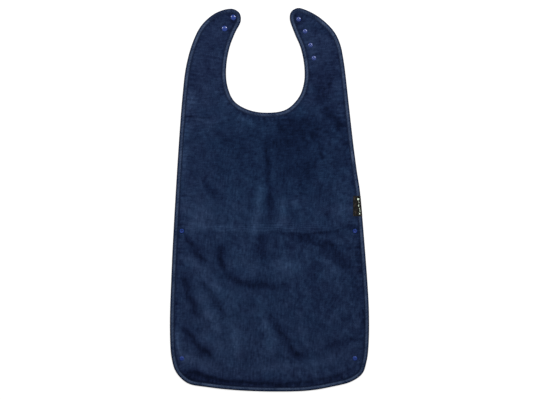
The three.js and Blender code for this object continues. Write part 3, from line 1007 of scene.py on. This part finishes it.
def label_top(inset):
    """The height of the label's front over the cloth's lift."""
    front = TAPE_SECTION[: TAPE_SECTION[:, 0].argmin() + 1][::-1]
    tape, past_tape = (np.interp(inset, *np.transpose(line)) for line in (front, LABEL_STEP))
    return np.where(inset < LABEL_STEP[0][0], tape, past_tape) + LABEL_LIFT


def make_label():
    """A patch that lies over the cloth and the tape and wraps round the edge."""
    low, high = LABEL[0] / MM, LABEL[1] / MM
    places = places_between(edge_place(1, low.y), edge_place(1, high.y))
    edge, rows = EDGE[places], []
    for share in LABEL_SPAN:
        inset = share * (edge[:, 0] - low.x)
        place = edge - inset[:, None] * [1, 0]
        inner = smooth_step(inset, 8.5, 10)
        rows.append(np.column_stack([place, lift(place) + label_top(inset), inner]))
    for inset, height in LABEL_WRAP:
        place = edge + INWARD[places] * inset
        rows.append(np.column_stack([place, lift(place) + height, np.zeros(len(place))]))
    surface = np.stack(rows, 1)
    points, inner = surface[:, :, :3].reshape(-1, 3), surface[:, :, 3].ravel()
    label = make_mesh("woven_label", points, grid_faces(surface).tolist(), "label",
                      uv=points[:, :2], values={"inner": inner})
    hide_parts("side_label")
    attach(label, "chest")
    return label


def mark_stitches():
    """Each stitch of the marks: distance in from the edge, distance down, and length."""
    stitches = []
    for index, (inset, down, width, length) in enumerate(MARKS):
        for step in np.arange(-length / 2, length / 2 + 0.01, MARK_PITCH):
            round_share = math.sqrt(max(0.0, 1 - (2 * step / length) ** 2)) if index == 0 else 1
            stitches.append((inset, down + step, max(width * round_share, 0.6)))
    return np.array(stitches)


def make_marks():
    """A dot and a column of bars, embroidered along the label in rows of stitches."""
    inset, down, length = mark_stitches().T
    y = LABEL[1].y / MM - down
    places = [edge_place(1, height) for height in y]
    inward = INWARD[places]
    centres = np.column_stack([EDGE[places][:, 0], y]) + inward * inset[:, None]
    heights = lift(centres) + label_top(inset) + MARK_LIFT
    points = stitch_points(centres, inward, inward[:, ::-1] * [-1, 1], heights, 1,
                           length[:, None]).reshape(-1, 3)
    marks = make_mesh("label_marks", points, stitch_faces(len(inset)), "marks",
                      uv=points[:, :2])
    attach(marks, "chest")
    return marks


# --- Snaps ---


def turned(name, kind, x, y, seat, way_up, material):
    """A closed turned piece of that kind, standing on its seat or hanging from it."""
    top, *rings, bottom = SNAP_PROFILES[kind]
    turns = np.arange(SNAP_SEGMENTS) * 2 * math.pi / SNAP_SEGMENTS
    points = [(0, 0, top[1])]
    for radius, height in rings:
        points += [(radius * math.cos(turn), radius * math.sin(turn), height) for turn in turns]
    points.append((0, 0, bottom[1]))
    n, last = SNAP_SEGMENTS, len(points) - 1
    faces = []
    for k, after in enumerate([*range(1, n), 0]):
        faces.append([0, 1 + k, 1 + after])
        faces += [[a + k, a + n + k, a + n + after, a + after] for a in range(1, last - n, n)]
        faces.append([last, last - n + after, last - n + k])
    placed = np.array(points) * [1, way_up, way_up] + [x, y, seat]
    piece = make_mesh(name, placed, faces, material)
    piece.data.set_sharp_from_angle(angle=SNAP_SHARP)
    return piece


def snap_finish(node, kind):
    """The material of a snap piece: the ones on the tabs are newer and glossier."""
    if "tab" not in node:
        return "side_snap"
    return "tab_cap" if kind == "cap" else "tab_stud"


def make_snaps():
    """One turned piece for each of the CAD's, in its place and on its body."""
    for node in sorted(NODES):
        kind = node.rsplit("_", 1)[-1]
        if kind not in SNAP_PROFILES:
            continue
        low, high = (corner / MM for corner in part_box(node))
        x, y, _ = (low + high) / 2
        tall = max(height for _, height in SNAP_PROFILES[kind])
        seat, way_up = (tall, -1) if low.z < 0.01 else (high.z - tall, 1)
        piece = turned(f"{node}_turned", kind, x, y, seat, way_up, snap_finish(node, kind))
        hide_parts(node)
        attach(piece, NODES[node]["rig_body"])


# --- Floor, light and camera ---


def make_floor():
    half, height = 4000.0, -0.3
    corners = [(x * half, y * half, height) for x, y in ((-1, -1), (1, -1), (1, 1), (-1, 1))]
    make_mesh("floor", np.array(corners), [[0, 1, 2, 3]], "floor")


def add_light(name, place, size, power):
    """A soft square light that faces the middle of the bib."""
    data = bpy.data.lights.new(name, "AREA")
    data.size = size
    data.energy = power
    light = put_in_scene(name, data)
    light.location = place
    light.rotation_euler = (-Vector(place)).to_track_quat("-Z", "Y").to_euler()


def light_scene():
    world = bpy.data.worlds.new("studio")
    world.use_nodes = True
    background = world.node_tree.nodes["Background"].inputs
    background["Color"].default_value = (1, 1, 1, 1)
    background["Strength"].default_value = 0.5
    bpy.context.scene.world = world
    add_light("key", (1.1, 1.5, 1.9), 1.2, 78)
    add_light("second", (-1.5, 1.2, 1.7), 1.0, 34)
    bpy.context.scene.view_settings.view_transform = "Standard"


def add_camera():
    """Straight above, from far enough to see the bib without perspective."""
    distance, view_width = 5.0, 1.1726
    data = bpy.data.cameras.new("camera")
    data.sensor_width = 36
    data.lens = data.sensor_width * distance / view_width
    camera = put_in_scene("camera", data)
    camera.location = (-0.0065, -0.0005, distance)
    bpy.context.scene.camera = camera


def main():
    faces = make_cloth("face", GRID)
    backings = make_cloth("backing", 2 * GRID)
    bindings = make_binding()
    stitches = make_stitches()
    label = make_label()
    marks = make_marks()
    make_snaps()
    make_floor()
    light_scene()
    add_camera()


main()
